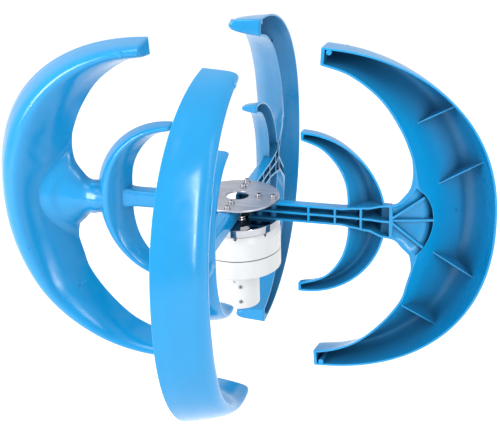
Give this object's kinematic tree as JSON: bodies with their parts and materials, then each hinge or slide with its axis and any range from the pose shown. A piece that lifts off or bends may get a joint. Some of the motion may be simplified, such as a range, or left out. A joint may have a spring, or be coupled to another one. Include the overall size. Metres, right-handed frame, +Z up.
{
  "type": "vertical-axis wind turbine",
  "caption": "Vertical-axis wind turbine with crescent scoop blades on radial arms, a flat hub plate, a polished flange, a round generator and a mast sleeve.",
  "frame": {"origin": "centre of the mast sleeve's mouth, on the spin axis", "axes": "+Z up along the spin axis, away from the mast; +X, +Y, -X and -Y along the four blade arms"},
  "size_m": [0.7974, 0.7974, 0.5264],
  "materials": {
    "blade_plastic": "glossy moulded nylon, azure blue",
    "hub_plate_steel": "brushed, cut edges",
    "flange_polish": "turned and polished to a mirror",
    "white_paint": "semi-gloss white paint on cast aluminium",
    "rubber_black": "matt black",
    "lamination": "stacked steel laminations, varnished",
    "copper_wire": "enamelled copper winding",
    "magnet_nickel": "nickel-plated magnets",
    "fastener_steel": "zinc-plated steel",
    "bearing_steel": "ground steel"
  },
  "bodies": {
    "generator_housing": {"upper_bearing_outer_race": "bearing_steel", "lower_bearing_outer_race": "bearing_steel", "upper_cover": "white_paint", "lower_cover": "white_paint", "seam_gasket": "rubber_black", "shaft_seal": "rubber_black", "stator_core": "lamination", "stator_coil_1": "copper_wire", "stator_coil_2": "copper_wire", "stator_coil_3": "copper_wire", "stator_coil_4": "copper_wire", "stator_coil_5": "copper_wire", "stator_coil_6": "copper_wire", "stator_coil_7": "copper_wire", "stator_coil_8": "copper_wire", "stator_coil_9": "copper_wire", "cover_screw_1": "white_paint", "cover_screw_2": "white_paint", "cover_screw_3": "white_paint", "cover_screw_4": "white_paint", "cover_screw_5": "white_paint", "cover_screw_6": "white_paint", "cover_screw_7": "white_paint", "cover_screw_8": "white_paint", "mast_sleeve": "white_paint", "mast_set_screw_1": "fastener_steel", "mast_set_screw_2": "fastener_steel", "sleeve_screw_1": "fastener_steel", "sleeve_screw_2": "fastener_steel", "sleeve_screw_3": "fastener_steel", "sleeve_screw_4": "fastener_steel", "cable_grommet": "rubber_black"},
    "rotor": {"blade_right": "blade_plastic", "blade_back": "blade_plastic", "blade_left": "blade_plastic", "blade_front": "blade_plastic", "hub_plate": "hub_plate_steel", "hub_flange": "flange_polish", "hub_bolt_1": "fastener_steel", "hub_bolt_2": "fastener_steel", "hub_bolt_3": "fastener_steel", "hub_bolt_4": "fastener_steel", "hub_bolt_5": "fastener_steel", "hub_bolt_6": "fastener_steel", "hub_bolt_7": "fastener_steel", "hub_bolt_8": "fastener_steel", "main_shaft": "bearing_steel", "shaft_nut": "bearing_steel", "shaft_washer": "bearing_steel", "rotor_core": "lamination", "rotor_magnet_1": "magnet_nickel", "rotor_magnet_2": "magnet_nickel", "rotor_magnet_3": "magnet_nickel", "rotor_magnet_4": "magnet_nickel", "rotor_magnet_5": "magnet_nickel", "rotor_magnet_6": "magnet_nickel", "rotor_magnet_7": "magnet_nickel", "rotor_magnet_8": "magnet_nickel", "upper_bearing_inner_race": "bearing_steel", "lower_bearing_inner_race": "bearing_steel"}
  },
  "joints": [
    {"name": "rotor_spin", "type": "hinge", "parent": "generator_housing", "child": "rotor", "pos_m": [0, 0, 0.1], "axis": [0, 0, 1], "continuous": true}
  ]
}
